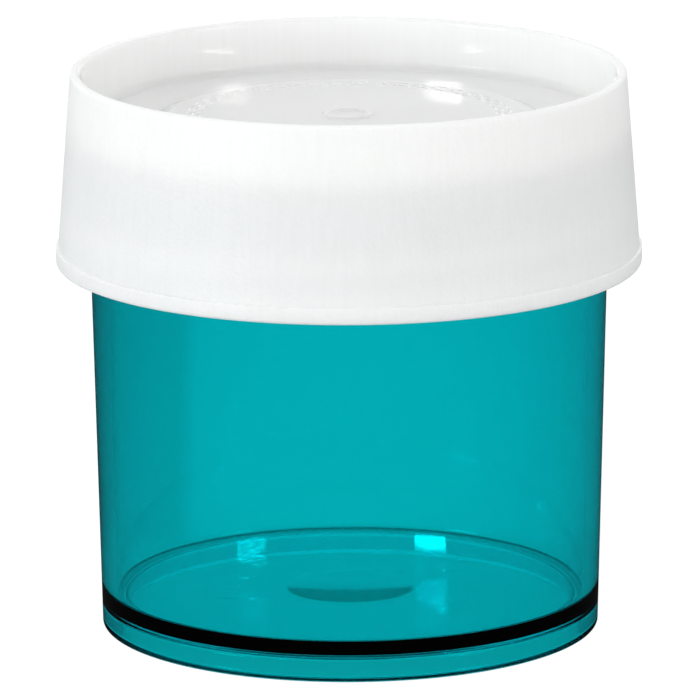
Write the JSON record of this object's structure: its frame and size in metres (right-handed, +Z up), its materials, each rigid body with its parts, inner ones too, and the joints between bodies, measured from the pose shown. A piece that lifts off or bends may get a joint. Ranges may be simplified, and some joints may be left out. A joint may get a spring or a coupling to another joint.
{
  "type": "screw-lid sample jar",
  "caption": "Small straight-sided clear tinted jar with a white screw lid, whose sunk top has an upstanding rim; holds a fuel sample.",
  "frame": {"origin": "centre of the jar's foot, on the plane that it stands on", "axes": "+Z up along the axis of the jar and its lid; X and Y are level, and the jar is round, so no side is its front"},
  "size_m": [0.07, 0.07, 0.0674],
  "materials": {
    "jar_plastic": "polished, transparent, tinted teal",
    "lid_plastic": "white moulded, fine satin texture on the skirt, glossy sunk top",
    "liner_foam": "white closed-cell foam with a smooth skin"
  },
  "bodies": {
    "jar": {"jar": "jar_plastic"},
    "seal_liner": {"seal_liner": "liner_foam"},
    "lid": {"lid": "lid_plastic"}
  },
  "joints": [
    {"name": "lid_lift", "type": "slide", "parent": "jar", "child": "seal_liner", "axis": [0, 0, 1], "range_m": [0, 0.0191]},
    {"name": "lid_turn", "type": "hinge", "parent": "seal_liner", "child": "lid", "pos_m": [0, 0, 0.0595], "axis": [0, 0, 1], "range_deg": [0, 1620]}
  ],
  "couplings": [
    {"joint": "lid_lift", "follows": "lid_turn", "m_per_rad": 0.00067375}
  ]
}
